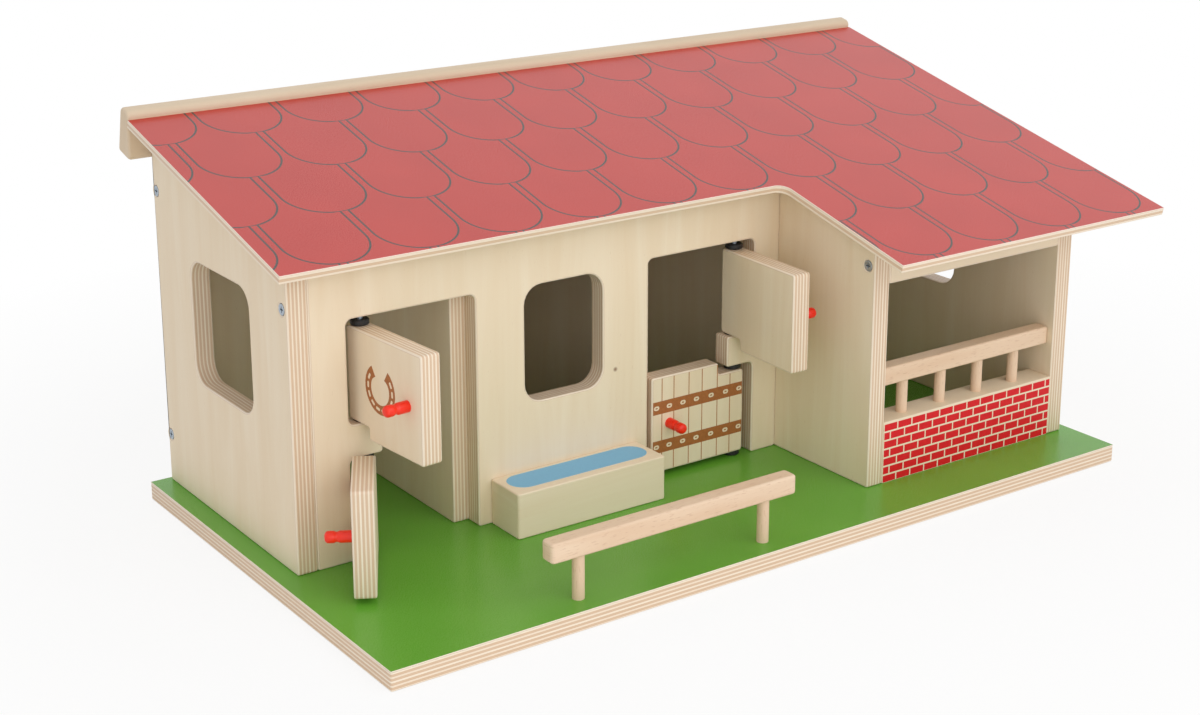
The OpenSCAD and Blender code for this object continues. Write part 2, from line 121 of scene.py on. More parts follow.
def slab(shape, outline, thick, matrix, holes=(), rounding=0.7, plies=11, along="v", seed=0.0,
         lean=None, paints=(0, 1, 0)):
    """Adds a flat board to a shape: its face at w = 0, its back at w = -thick, its rims rounded.
    The grain runs along u or v, lean = (v, slope) tilts the rim above v, and paints are the
    material numbers of face, rim and back. A rim's UV is its length and its depth in plies;
    with no plies the board is solid wood, and the grain runs round its rim."""
    bm, normals = shape
    uv = bm.loops.layers.uv.verify()
    turn = matrix.to_3x3().normalized()
    bends = [math.radians(a) for a in (0, 30, 60, 90)]
    profile = [(rounding * (1 - math.sin(a)), rounding * (1 - math.cos(a)), a) for a in bends]
    profile += [(inset, thick - depth, math.pi - a) for inset, depth, a in reversed(profile)]
    flat = {}
    rims = ([], [])
    for loop in (outline, *[list(reversed(hole)) for hole in holes]):
        points = soften(loop, rounding * 1.6)
        count = len(points)
        run = [0.0]
        mitres = []
        for i, point in enumerate(points):
            ahead = points[(i + 1) % count] - point
            before = (point - points[i - 1]).normalized()
            run.append(run[-1] + ahead.length)
            ahead.normalize()
            left = Vector((-before.y - ahead.y, before.x + ahead.x))
            mitres.append(left / (1 + before.dot(ahead)))
        rings = []
        for inset, depth, a in profile:
            ring = []
            for point, mitre in zip(points, mitres):
                spot = point + mitre * inset
                tilt = lean[1] * depth if lean and spot.y > lean[0] else 0.0
                corner = bm.verts.new(matrix @ Vector((spot.x, spot.y + tilt, -depth)))
                out = -mitre.normalized() * math.sin(a)
                normals.append(turn @ Vector((out.x, out.y, math.cos(a))))
                flat[corner] = spot
                ring.append(corner)
            rings.append(ring)
        for k in range(len(profile) - 1):
            for i in range(count):
                j = (i + 1) % count
                side = bm.faces.new((rings[k][i], rings[k + 1][i], rings[k + 1][j], rings[k][j]))
                side.material_index = paints[1]
                ends = ((run[i], k), (run[i], k + 1), (run[i + 1], k + 1), (run[i + 1], k))
                for corner, (length, level) in zip(side.loops, ends):
                    depth = profile[level][1]
                    if plies:
                        corner[uv].uv = (length / 1000 + seed, depth / thick * plies)
                    else:
                        corner[uv].uv = (depth / 1000, length / 1000 + seed)
        for rim, ring in zip(rims, (rings[0], rings[-1])):
            rim += [bm.edges.get((ring[i - 1], ring[i])) for i in range(count)]
    for rim, facing, paint in zip(rims, (1, -1), (paints[0], paints[2])):
        filled = bmesh.ops.triangle_fill(bm, use_beauty=True, edges=rim)["geom"]
        for face in [part for part in filled if isinstance(part, bmesh.types.BMFace)]:
            face.normal_update()
            if face.normal.dot(turn @ Vector((0, 0, facing))) < 0:
                face.normal_flip()
            face.material_index = paint
            for corner in face.loops:
                spot = flat[corner.vert] / 1000
                across, grain = (spot.x, spot.y) if along == "v" else (spot.y, spot.x)
                corner[uv].uv = (across + seed, grain + seed * 0.6)


def new_shape():
    return bmesh.new(), []


def finished(name, shape, materials, body, slot, *nodes):
    """Turns a shape into a piece that rides on a CAD body and stands for CAD nodes."""
    bm, normals = shape
    mesh = bpy.data.meshes.new(name)
    bm.to_mesh(mesh)
    bm.free()
    for material in materials:
        mesh.materials.append(material)
    mesh.shade_smooth()
    if normals:
        mesh.normals_split_custom_set_from_vertices(normals)
    else:
        mesh.set_sharp_from_angle(angle=math.radians(38))
    piece = bpy.data.objects.new(name, mesh)
    bpy.context.collection.objects.link(piece)
    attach(piece, body)
    if nodes:
        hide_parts(*nodes)
    return piece


def board(name, outline, thick, matrix, materials, body="barn", slot="plywood", nodes=(), **how):
    """A board that is a piece of its own, as slab() describes it."""
    shape = new_shape()
    slab(shape, outline, thick, matrix, **how)
    return finished(name, shape, materials, body, slot, *nodes)


def rgb(red, green, blue):
    """A colour from its 0 to 255 screen values."""
    linear = [(c / 255 / 12.92) if c < 11 else ((c / 255 + 0.055) / 1.055) ** 2.4
              for c in (red, green, blue)]
    return (*linear, 1.0)


def material(name, **finish):
    """A new material's node tree, with plain values of its Principled node set by name."""
    made = bpy.data.materials.new(name)
    made.use_nodes = True
    for key, value in finish.items():
        surface(made).inputs[key.replace("_", " ")].default_value = value
    return made


def surface(made):
    return made.node_tree.nodes["Principled BSDF"]


def node(made, kind, inputs, output=0, **settings):
    """Adds a shader node, gives its inputs values or links, and returns one of its outputs."""
    added = made.node_tree.nodes.new("ShaderNode" + kind)
    for key, value in settings.items():
        setattr(added, key, value)
    for key, value in inputs.items():
        if isinstance(value, bpy.types.NodeSocket):
            made.node_tree.links.new(value, added.inputs[key])
        else:
            added.inputs[key].default_value = value
    return added.outputs[output]


def calc(made, operation, *values):
    return node(made, "Math", dict(enumerate(values)), operation=operation)


def blend(made, factor, first, second, mode="MIX"):
    """Mixes two colours by a factor."""
    return node(made, "Mix", {0: factor, 6: first, 7: second}, output=2, data_type="RGBA",
                blend_type=mode)


def stretched(made, across, along):
    """The UV map, scaled across the grain and along it."""
    flat = node(made, "UVMap", {})
    return node(made, "Mapping", {"Vector": flat, "Scale": (across, along, 1.0)})


def noise(made, vector, detail=3.0, roughness=0.5, distortion=0.0):
    return node(made, "TexNoise", {"Vector": vector, "Scale": 1.0, "Detail": detail,
                                   "Roughness": roughness, "Distortion": distortion})


def between(made, value, low, high, start=0.0, end=1.0):
    """Maps a value from low..high to start..end, held at both ends."""
    return node(made, "MapRange", {"Value": value, "From Min": low, "From Max": high,
                                   "To Min": start, "To Max": end})


def paint(made, **links):
    """Links sockets to the Principled node's inputs."""
    for key, socket in links.items():
        made.node_tree.links.new(socket, surface(made).inputs[key.replace("_", " ")])


def bump(made, height, strength, distance):
    made_bump = node(made, "Bump", {"Height": height, "Strength": strength, "Distance": distance})
    paint(made, Normal=made_bump)


def birch_face(name, pale, dark, knot=None):
    """Rotary-cut birch veneer under clear lacquer: fine fibre, broad figure and tiny flecks, and
    a small dark knot at a point of the UV map."""
    made = material(name, IOR=1.45)
    broad = noise(made, stretched(made, 34, 3.2), 4.0, 0.6, 1.2)
    fibre = noise(made, stretched(made, 1500, 22), 4.0, 0.6)
    figure = node(made, "TexWave", {"Vector": stretched(made, 9, 1.5), "Scale": 1.0,
                                    "Distortion": 9.0, "Detail": 2.0, "Detail Scale": 0.9},
                  output=1, bands_direction="X")
    flecks = noise(made, stretched(made, 1900, 190), 2.0, 0.5)
    base = blend(made, between(made, broad, 0.3, 0.7), dark, pale)
    base = blend(made, between(made, fibre, 0.35, 0.75, 0.0, 0.25), base, dark)
    base = blend(made, between(made, figure, 0.9, 1.0, 0.0, 0.2), base, dark)
    base = blend(made, between(made, flecks, 0.7, 0.76, 0.0, 0.3), base, rgb(178, 138, 96))
    if knot:
        away = node(made, "VectorMath", {0: node(made, "UVMap", {}), 1: (*knot, 0)}, output=1,
                    operation="DISTANCE")
        base = blend(made, between(made, away, 0.0006, 0.0022, 0.8, 0.0), base, rgb(120, 78, 48))
    paint(made, Base_Color=base, Roughness=between(made, fibre, 0.2, 0.8, 0.5, 0.62))
    bump(made, fibre, 0.08, 0.0003)
    return made


def ply_edge(name, pale, tan, glue):
    """A plywood rim: long grain and end grain by turns, with a thin glue line between them."""
    made = material(name, IOR=1.45)
    flat = node(made, "SeparateXYZ", {0: node(made, "UVMap", {})}, output=1)
    layer = calc(made, "FLOOR", flat)
    inside = calc(made, "SUBTRACT", flat, layer)
    cross = calc(made, "MODULO", layer, 2.0)
    shade = node(made, "TexWhiteNoise", {"W": layer}, noise_dimensions="1D")
    long_grain = noise(made, stretched(made, 70, 5), 4.0, 0.6)
    end_grain = noise(made, stretched(made, 2600, 9), 3.0, 0.6)
    pale_ply = blend(made, between(made, long_grain, 0.3, 0.75, 0.0, 0.25), pale, tan)
    tan_ply = blend(made, between(made, end_grain, 0.35, 0.75, 0.0, 0.4), tan, glue)
    base = blend(made, cross, pale_ply, tan_ply)
    base = blend(made, between(made, shade, 0.0, 1.0, 0.0, 0.25), base, tan)
    near = calc(made, "ABSOLUTE", calc(made, "SUBTRACT", inside, 0.5))
    base = blend(made, between(made, near, 0.38, 0.5, 0.0, 0.6), base, glue)
    paint(made, Base_Color=base, Roughness=between(made, end_grain, 0.2, 0.8, 0.34, 0.46))
    bump(made, calc(made, "ADD", end_grain, cross), 0.1, 0.0002)
    return made


BIRCH = birch_face("birch_face", rgb(240, 225, 201), rgb(233, 213, 184))
RIM = ply_edge("birch_plywood_rim", rgb(246, 234, 216), rgb(222, 194, 165), rgb(192, 154, 120))


def laminate(name, colour, lift):
    """Printed laminate, smooth and a little glossy, with a faint unevenness."""
    made = material(name, IOR=1.5)
    cloud = noise(made, stretched(made, 16, 16), 2.0, 0.5)
    grit = noise(made, stretched(made, 1500, 1500), 2.0, 0.5)
    base = blend(made, between(made, cloud, 0.3, 0.7), colour, lift)
    paint(made, Base_Color=base, Roughness=between(made, grit, 0.2, 0.8, 0.24, 0.32))
    bump(made, grit, 0.03, 0.0002)
    return made, base


GREEN, _ = laminate("green_laminate", rgb(96, 164, 48), rgb(102, 170, 54))
LAMINATE_RIM = birch_face("laminate_rim", rgb(252, 240, 228), rgb(244, 226, 210))
BOARD = (BIRCH, RIM)
base_x0, base_x1, base_y0, base_y1, base_z0, base_z1 = span("base_board")
base_outline = rectangle(base_x0, base_x1, base_y0, base_y1)
# Where the screws come up from below: this far from each end of every wall
SCREW_END = 30
SCREW_HOLE = 4.0
DOORWAY = 99
# The front wall goes on this far beyond the left and the right doorway
DOOR_MARGINS = (26.9, 23.7)
FRONT = span("front_wall")
FREE_LEFT = FRONT[0] + DOOR_MARGINS[0] + DOORWAY
FREE_RIGHT = FRONT[1] - DOOR_MARGINS[1] - DOORWAY
FRONT_MID = (FREE_LEFT + FREE_RIGHT) / 2
under_screws = [(x, (FRONT[2] + FRONT[3]) / 2) for x in (FREE_LEFT + SCREW_END, FREE_RIGHT - SCREW_END)]
for name in ("left_wall", "partition_left", "partition_right", "bay_wall", "right_wall"):
    x0, x1, y0, y1, _, _ = span(name)
    under_screws += [((x0 + x1) / 2, y) for y in (y0 + SCREW_END, y1 - SCREW_END)]
for name in ("back_wall", "brick_board", "trough"):
    x0, x1, y0, y1, _, _ = span(name)
    under_screws += [(x, (y0 + y1) / 2) for x in (x0 + SCREW_END, x1 - SCREW_END)]


def circle(cx, cy, radius, steps=24):
    return arc(cx, cy, radius, 0, 360, steps)[:-1]


board("base_board", base_outline, base_z1 - base_z0, place((0, 0, base_z1), ACROSS, BACK), BOARD,
      nodes=("base_board",), holes=[circle(x, y, SCREW_HOLE) for x, y in under_screws], plies=9,
      along="u", rounding=1.0)
board("base_laminate", base_outline, -base_z1, place((0, 0, 0), ACROSS, BACK),
      (GREEN, LAMINATE_RIM), slot="green_laminate", nodes=("base_laminate",), rounding=0.25, plies=1)


# The walls: 15 mm birch plywood, all cut off at the roof's pitch. The left wall and the right
# wall have a round-cornered window, the front wall has the two doorways and a window, and the
# back wall is a thinner board between the side walls. Screws go in from the sides and the back.
ROOF_ANGLE = math.radians(14)
PITCH = math.tan(ROOF_ANGLE)
WALL_TOP = 215.5
# Windows: width, height, sill above the yard and rounding of the corners
SIDE_WINDOW = (92.7, 90, 94, 15)
FRONT_WINDOW = (66.5, 85.5, 83, 14)


def roof_height(y):
    """The underside of the roof above a line at y."""
    return WALL_TOP + PITCH * (y - FRONT[2])


def under_roof(y0, y1, z0=0.0):
    """The side view of a board that runs front to back under the roof."""
    return [(y0, z0), (y1, z0), (y1, roof_height(y1)), (y0, roof_height(y0))]


def window(middle, size):
    """A round-cornered window with its middle at a place along its wall."""
    width, height, sill, corner = size
    return round_rectangle(middle - width / 2, middle + width / 2, sill, sill + height, corner)


front_y = (FRONT[2] + FRONT[3]) / 2
back_y = (span("back_wall")[2] + span("back_wall")[3]) / 2
header_y = (span("bay_header")[2] + span("bay_header")[3]) / 2
LOW_SCREW = 36.9
high_front = WALL_TOP - 32
high_back = roof_height(span("back_wall")[2]) - 43
high_header = span("bay_header")[4] + 14.3
side_holes = {
    "left_wall": [(front_y, high_front), (back_y, high_back), (back_y, LOW_SCREW)],
    "bay_wall": [(header_y, high_header), (front_y, high_front), (front_y, LOW_SCREW)],
    "right_wall": [(header_y, high_header), (back_y, high_back), (back_y, LOW_SCREW)],
}
for seed, name in enumerate(("left_wall", "partition_left", "partition_right", "bay_wall", "right_wall")):
    x0, x1, y0, y1, _, _ = span(name)
    cuts = [circle(y, z, SCREW_HOLE) for y, z in side_holes.get(name, [])]
    if name in ("left_wall", "right_wall"):
        cuts.append(window((y0 + y1) / 2, SIDE_WINDOW))
    board(name, under_roof(y0, y1), x1 - x0, place((x1, 0, 0), BACK, UP), BOARD, nodes=(name,),
          holes=cuts, rounding=1.2, seed=0.37 + 0.61 * seed)

DOOR_TOP = 170.5
DOOR_CORNER = 5
# The lug's reach out of the jamb, its foot and its top
LUG = (24.5, 73.5, 97)
LUG_FILLET = 4.5
# A pin knot in the front wall's veneer, in metres of its UV map
KNOT = (4.573, 2.673)


def doorway(jamb, side):
    """A doorway's outline from the yard up, with the hinge lug standing out of its jamb."""
    reach, low, high = LUG
    fillet, corner = LUG_FILLET, DOOR_CORNER
    drawn = [
        (0, 0), *arc(fillet, low - fillet, fillet, 180, 90), (reach, low), (reach, high),
        *arc(fillet, high + fillet, fillet, 270, 180),
        *arc(corner, DOOR_TOP - corner, corner, 180, 90),
        *arc(DOORWAY - corner, DOOR_TOP - corner, corner, 90, 0), (DOORWAY, 0),
    ]
    return [(jamb + side * u, z) for u, z in drawn]


HINGE_JAMBS = (FREE_LEFT - DOORWAY, FREE_RIGHT + DOORWAY)
front_outline = [
    (FRONT[0], 0), *doorway(HINGE_JAMBS[0], 1), *reversed(doorway(HINGE_JAMBS[1], -1)), (FRONT[1], 0),
    (FRONT[1], WALL_TOP), (FRONT[0], WALL_TOP),
]
FRONT_BIRCH = birch_face("front_birch_face", rgb(240, 225, 201), rgb(233, 213, 184), KNOT)
board("front_wall", front_outline, FRONT[3] - FRONT[2], place((0, FRONT[2], 0), ACROSS, UP),
      (FRONT_BIRCH, RIM), nodes=("front_wall",), holes=[window(FRONT_MID, FRONT_WINDOW)],
      lean=(WALL_TOP - 3, PITCH), rounding=1.2, seed=4.3)

x0, x1, y0, y1, _, _ = span("back_wall")
back_screws = [
    (x, z)
    for x in [sum(span(name)[:2]) / 2 for name in ("partition_left", "partition_right", "bay_wall")]
    for z in (LOW_SCREW, high_back)
]
board("back_wall", rectangle(x0, x1, 0, roof_height(y0)), y1 - y0, place((0, y0, 0), ACROSS, UP), BOARD,
      nodes=("back_wall",), holes=[circle(x, z, SCREW_HOLE) for x, z in back_screws], plies=7,
      lean=(roof_height(y0) - 3, PITCH), seed=5.9)

x0, x1, y0, y1, z0, _ = span("bay_header")
board("bay_header", rectangle(x0, x1, z0, roof_height(y0)), y1 - y0, place((0, y0, 0), ACROSS, UP),
      BOARD, nodes=("bay_header",), lean=(roof_height(y0) - 3, PITCH), along="u", rounding=1.2,
      seed=7.1)


# The roof: a thin plywood sheet with red laminate, printed with scallop tiles, and a ridge board
# of solid wood glued along its back edge, which hangs down behind the back wall. It lies loose
# on the walls and lifts off.
UP_SLOPE = (0, math.cos(ROOF_ANGLE), math.sin(ROOF_ANGLE))
OFF_SLOPE = Vector(ACROSS).cross(Vector(UP_SLOPE))
ROOF_SEAT = 0.15
ROOF_FOOT = Vector((0, FRONT[2], WALL_TOP + ROOF_SEAT))
ROOF_PLY = 5.2
ROOF_SHEET = 0.7
roof_x0, roof_x1 = span("roof_panel")[:2]
STEP_LEFT_OF_BAY = 16.9
step_x = span("bay_wall")[0] - STEP_LEFT_OF_BAY
step_r = 9
# Places up the slope, from above the front wall's face: the two eaves and the ridge board
EAVE = -22.9
BAY_EAVE = -154.2
RIDGE = 216.8


def roof_outline(end):
    """The roof seen square to its slope, with its eave stepped forward over the bay."""
    return [
        (roof_x0, EAVE), *arc(step_x - step_r, EAVE - step_r, step_r, 90, 0), (step_x, BAY_EAVE),
        (roof_x1, BAY_EAVE), (roof_x1, end), (roof_x0, end),
    ]


def tile_lines(made):
    """Rows of scallop tiles, half a tile apart: 1 where the grey line round a tile runs."""
    pitch_x, pitch_y, radius = 66.4, 64.2, 30.2
    first_row = BAY_EAVE + 5
    flat = node(made, "UVMap", {})
    across = calc(made, "MULTIPLY", node(made, "SeparateXYZ", {0: flat}, output=0), 1000.0)
    along = calc(made, "MULTIPLY", node(made, "SeparateXYZ", {0: flat}, output=1), 1000.0)
    risen = calc(made, "SUBTRACT", along, first_row)
    row = calc(made, "FLOOR", calc(made, "DIVIDE", risen, pitch_y))
    in_row = calc(made, "SUBTRACT", risen, calc(made, "MULTIPLY", row, pitch_y))
    odd = calc(made, "FLOORED_MODULO", row, 2.0)
    moved = calc(made, "SUBTRACT", across, calc(made, "MULTIPLY_ADD", odd, 31.5, 14.0))
    in_tile = calc(made, "SUBTRACT", calc(made, "FLOORED_MODULO", moved, pitch_x), pitch_x / 2)
    below = calc(made, "MAXIMUM", calc(made, "SUBTRACT", radius, in_row), 0.0)
    squares = calc(made, "ADD", calc(made, "POWER", in_tile, 2.0), calc(made, "POWER", below, 2.0))
    off_line = calc(made, "SUBTRACT", calc(made, "SQRT", squares), radius)
    return between(made, calc(made, "ABSOLUTE", off_line), 0.6, 0.85, 1.0, 0.0)


RED, red_base = laminate("red_laminate", rgb(190, 38, 27), rgb(197, 44, 32))
surface(RED).inputs["IOR"].default_value = 1.65
paint(RED, Base_Color=blend(RED, tile_lines(RED), red_base, rgb(54, 54, 50)))
board("roof_panel", roof_outline(RIDGE + 0.2), ROOF_PLY,
      place(ROOF_FOOT + OFF_SLOPE * ROOF_PLY, ACROSS, UP_SLOPE), BOARD, body="roof",
      nodes=("roof_panel",), plies=3, rounding=0.3, seed=8.3)
board("roof_laminate", roof_outline(RIDGE), ROOF_SHEET,
      place(ROOF_FOOT + OFF_SLOPE * (ROOF_PLY + ROOF_SHEET), ACROSS, UP_SLOPE), (RED, LAMINATE_RIM),
      body="roof", slot="red_laminate", nodes=("roof_laminate",), rounding=0.25, plies=1)
SOLID_WOOD = birch_face("ridge_wood", rgb(226, 207, 182), rgb(213, 191, 162))
RIDGE_T, RIDGE_ARRIS = 14.1, 4.5
ridge_low, ridge_high = ROOF_PLY + ROOF_SHEET - 29.7, ROOF_PLY + ROOF_SHEET + 5.3
ridge_section = [
    (RIDGE + (ridge_low + 0.1) * PITCH, ridge_low), (RIDGE + RIDGE_T, ridge_low),
    *arc(RIDGE + RIDGE_T - RIDGE_ARRIS, ridge_high - RIDGE_ARRIS, RIDGE_ARRIS, 0, 90),
    *arc(RIDGE + RIDGE_ARRIS, ridge_high - RIDGE_ARRIS, RIDGE_ARRIS, 90, 180), (RIDGE, -0.1),
]
board("ridge_board", ridge_section, roof_x1 - roof_x0,
      place(ROOF_FOOT + Vector((roof_x1, 0, 0)), UP_SLOPE, OFF_SLOPE), (SOLID_WOOD, SOLID_WOOD),
      body="roof", nodes=("ridge_board",), rounding=2.0, plies=(roof_x1 - roof_x0) / 1000, seed=9.1)


# The bay's front: a wooden board with printed bricks, four turned balusters of beech and a rail
# with rounded edges on top. All are glued between the bay wall and the right wall.
def lathe(shape, profile, matrix, steps=32):
    """Adds a turned piece to a shape: pairs of radius and height in mm, from its foot up."""
    bm = shape[0]
    uv = bm.loops.layers.uv.verify()
    rings = []
    for radius, height in profile:
        if radius == 0:
            rings.append([bm.verts.new(matrix @ Vector((0, 0, height)))] * steps)
            continue
        rings.append([bm.verts.new(matrix @ Vector((u, v, height))) for u, v in circle(0, 0, radius, steps)])
    girth = 2 * math.pi * max(radius for radius, _ in profile) / 1000
    run = 0.0
    for k in range(len(profile) - 1):
        (r0, h0), (r1, h1) = profile[k], profile[k + 1]
        length = math.hypot(r1 - r0, h1 - h0) / 1000
        for i in range(steps):
            j = (i + 1) % steps
            spots = [(rings[k][i], i, run), (rings[k][j], i + 1, run),
                     (rings[k + 1][j], i + 1, run + length), (rings[k + 1][i], i, run + length)]
            used = [s for n, s in enumerate(spots) if s[0] not in [t[0] for t in spots[:n]]]
            face = bm.faces.new([s[0] for s in used])
            for corner, (_, turn, height) in zip(face.loops, used):
                corner[uv].uv = (turn / steps * girth, height)
        run += length


def turned(name, profile, matrix, materials, body="barn", slot="beech", nodes=()):
    shape = new_shape()
    lathe(shape, profile, matrix)
    return finished(name, shape, materials, body, slot, *nodes)


def beech_wood(name, pale, dark):
    """Solid beech: an even pinkish ground with short darker flecks along the grain."""
    made = material(name, IOR=1.45)
    broad = noise(made, stretched(made, 60, 5), 3.0, 0.55, 0.6)
    flecks = noise(made, stretched(made, 1100, 130), 2.0, 0.5)
    fibre = noise(made, stretched(made, 2200, 40), 3.0, 0.6)
    base = blend(made, between(made, broad, 0.3, 0.7), dark, pale)
    base = blend(made, between(made, fibre, 0.4, 0.75, 0.0, 0.3), base, dark)
    base = blend(made, between(made, flecks, 0.6, 0.68, 0.0, 0.32), base, rgb(178, 128, 92))
    paint(made, Base_Color=base, Roughness=between(made, fibre, 0.2, 0.8, 0.46, 0.58))
    bump(made, flecks, 0.06, 0.0002)
    return made


def bricks(name):
    """Printed bricks 13.1 x 5.5 mm in a running bond on the pale wood."""
    made = birch_face(name, rgb(242, 230, 208), rgb(232, 214, 186))
    wood = surface(made).inputs["Base Color"].links[0].from_socket
    flat = node(made, "UVMap", {})
    pitch_x, pitch_z = 14.2, 6.75
    across = calc(made, "MULTIPLY", node(made, "SeparateXYZ", {0: flat}, output=1), 1000.0)
    up = calc(made, "MULTIPLY", node(made, "SeparateXYZ", {0: flat}, output=0), 1000.0)
    risen = calc(made, "SUBTRACT", up, 0.3)
    course = calc(made, "FLOOR", calc(made, "DIVIDE", risen, pitch_z))
    in_course = calc(made, "SUBTRACT", risen, calc(made, "MULTIPLY", course, pitch_z))
    odd = calc(made, "FLOORED_MODULO", course, 2.0)
    from_left = calc(made, "SUBTRACT", across, span("brick_board")[0])
    moved = calc(made, "MULTIPLY_ADD", odd, pitch_x / 2, from_left)
    in_brick = calc(made, "FLOORED_MODULO", moved, pitch_x)
    tall = between(made, in_course, 5.35, 5.55, 1.0, 0.0)
    wide = between(made, in_brick, 13.0, 13.2, 1.0, 0.0)
    below_top = between(made, up, 46.0, 46.2, 1.0, 0.0)
    inked = calc(made, "MULTIPLY", calc(made, "MULTIPLY", tall, wide), below_top)
    patchy = noise(made, stretched(made, 300, 300), 3.0, 0.6)
    ink = blend(made, between(made, patchy, 0.3, 0.7), rgb(210, 0, 20), rgb(222, 4, 26))
    paint(made, Base_Color=blend(made, inked, wood, ink))
    return made


BEECH = beech_wood("beech", rgb(238, 214, 188), rgb(224, 192, 162))
x0, x1, y0, y1, z0, z1 = span("brick_board")
board("brick_board", rectangle(x0, x1, z0, z1), y1 - y0, place((0, y0, 0), ACROSS, UP),
      (bricks("brick_print"), BIRCH), slot="brick_print", nodes=("brick_board",),
      paints=(0, 1, 1), plies=0, rounding=0.6, along="u")
rail_x0, rail_x1, rail_y0, rail_y1, rail_z0, rail_z1 = span("bay_rail")
board("bay_rail", rectangle(rail_x0, rail_x1, rail_y0, rail_y1), rail_z1 - rail_z0,
      place((0, 0, rail_z1), ACROSS, BACK), (BEECH, BEECH), slot="beech", nodes=("bay_rail",),
      along="u", rounding=1.8, plies=0)
DOWEL = 4.2
DOWEL_IN = 8
FIRST_BALUSTER = 27.3
BALUSTER_PITCH = 38.8
foot, head = z1 - DOWEL_IN, rail_z0 + DOWEL_IN
for i in range(4):
    x = x0 + FIRST_BALUSTER + BALUSTER_PITCH * i
    turned(f"baluster_{i + 1}", [(0, foot), (DOWEL, foot), (DOWEL, head), (0, head)],
           place((x, (y0 + y1) / 2, 0), ACROSS, BACK), (BEECH,), nodes=("bay_balusters",))


# The yard: a solid block for a trough with the water printed on its top, and a hitching bar of
# beech on two round posts that are glued into the base.
x0, x1, y0, y1, z0, z1 = span("trough")
board("trough", rectangle(x0, x1, y0, y1), z1 - z0, place((0, 0, z1), ACROSS, BACK), (BIRCH, BIRCH),
      nodes=("trough",), along="u", rounding=1.2, plies=0, seed=3.3)


def matt_colour(name, colour, second):
    """A matt colour, a little uneven, for ink on the wood's pores, for moulded plastic and for painted shade.
    """
    made = material(name, IOR=1.45)
    patchy = noise(made, stretched(made, 420, 420), 4.0, 0.6)
    paint(made, Base_Color=blend(made, between(made, patchy, 0.3, 0.7), colour, second),
          Roughness=between(made, patchy, 0.3, 0.7, 0.42, 0.55))
    bump(made, patchy, 0.04, 0.0001)
    return made


INK = 0.08
WATER = matt_colour("water_print", rgb(118, 182, 222), rgb(128, 190, 228))
middle_y = (y0 + y1) / 2 + 2
board("trough_water", round_rectangle(x0 + 5, x1 - 5, middle_y - 12, middle_y + 12, 11.99), INK,
      place((0, 0, z1 + INK / 2), ACROSS, BACK), (WATER, WATER), slot="plywood", rounding=0.03, plies=1)

x0, x1, y0, y1, z0, z1 = span("hitch_bar")
board("hitch_bar", rectangle(x0, x1, y0, y1), z1 - z0, place((0, 0, z1), ACROSS, BACK),
      (BEECH, BEECH), slot="beech", nodes=("hitch_bar",), along="u", rounding=1.8, plies=0, seed=1.7)
for side, x in (("left", span("hitch_posts")[0] + DOWEL), ("right", span("hitch_posts")[1] - DOWEL)):
    foot, head = -DOWEL_IN, z0 + DOWEL_IN
    turned(f"hitch_post_{side}", [(0, foot), (DOWEL, foot), (DOWEL, head), (0, head)],
           place((x, (y0 + y1) / 2, 0), ACROSS, BACK), (BEECH,), nodes=("hitch_posts",))


# The stable doors: in each doorway a lower and an upper leaf of 15 mm plywood turn on one steel
# rod, with black washers between them and the lug; the thin one under the upper leaf is a black
# disc of painted shade in the dark gap there. The lower leaves are printed with planks and two
# strap hinges, the upper ones with a horseshoe, and each has a red turned peg.
PEG_RED = material("red_lacquer", IOR=1.5)
worn = noise(PEG_RED, stretched(PEG_RED, 500, 60), 3.0, 0.6)
paint(PEG_RED, Base_Color=blend(PEG_RED, between(PEG_RED, worn, 0.3, 0.7), rgb(240, 30, 4), rgb(248, 46, 12)),
      Roughness=between(PEG_RED, worn, 0.2, 0.8, 0.24, 0.36))
bump(PEG_RED, worn, 0.06, 0.0003)
BROWN = matt_colour("brown_print", rgb(158, 94, 48), rgb(176, 108, 58))
LINE_BROWN = matt_colour("plank_line_print", rgb(172, 112, 66), rgb(186, 126, 80))
# A leaf is drawn as the lower left one: u runs from the hinge rod and z from the yard. Its notch
# clears the lug, and an upper leaf's z is LEAF_PAIR less the lower leaf's.
LEAF_T = 15
STOP_GAP = 0.3
PIN_INSET = 14.1
REACH = 81.1
MARGIN = 5
NOTCH = (18.8, 69.5)
LEAF_LOW, LEAF_HIGH = 4.0, 78.6
LEAF_PAIR = 167.5
PIN_Y = FRONT[3] - STOP_GAP - LEAF_T / 2
PEG_IN = 10
PEG_U, PEG_Z = REACH - 16.3, (LEAF_LOW + LEAF_HIGH) / 2
# The straps' lower and upper edges, and their eyes and the planks' lines from the free edge
STRAPS = ((19.2, 29.0), (49.8, 59.8))
EYES = (4.4, 16.2, 28.8, 41.5, 55.4, 69.2, 82.1)
PLANKS = (9.3, 20.3, 34.3, 46.7, 61.1, 73.3)
# The horseshoe's centre, its radius and half its width, and the turns of its nail holes
SHOE_U, SHOE_Z = 33.5, 128.2
SHOE_R, SHOE_HALF = 13.9, 3.4
NAILS = (152, 178, 204, 231, 257, 283, 309, 336, 2, 28)


def over(points, side, upper):
    """Puts a lower left leaf's drawing on another leaf, which is turned over or mirrored."""
    moved = [(side * u, LEAF_PAIR - z if upper else z) for u, z in points]
    return list(reversed(moved)) if (side < 0) != upper else moved


def ring_arc(radius, half, start, end, steps=24):
    """A band along a circle, wider towards its two ends like a horseshoe's heels."""
    outer = []
    inner = []
    for i in range(steps + 1):
        share = i / steps
        turn = math.radians(start + (end - start) * share)
        wide = half + 1.1 * max(0, abs(share - 0.5) * 2 - 0.8) * 5
        outer.append(((radius + half) * math.cos(turn), (radius + half) * math.sin(turn)))
        inner.append(((radius - wide) * math.cos(turn), (radius - wide) * math.sin(turn)))
    return outer + list(reversed(inner))


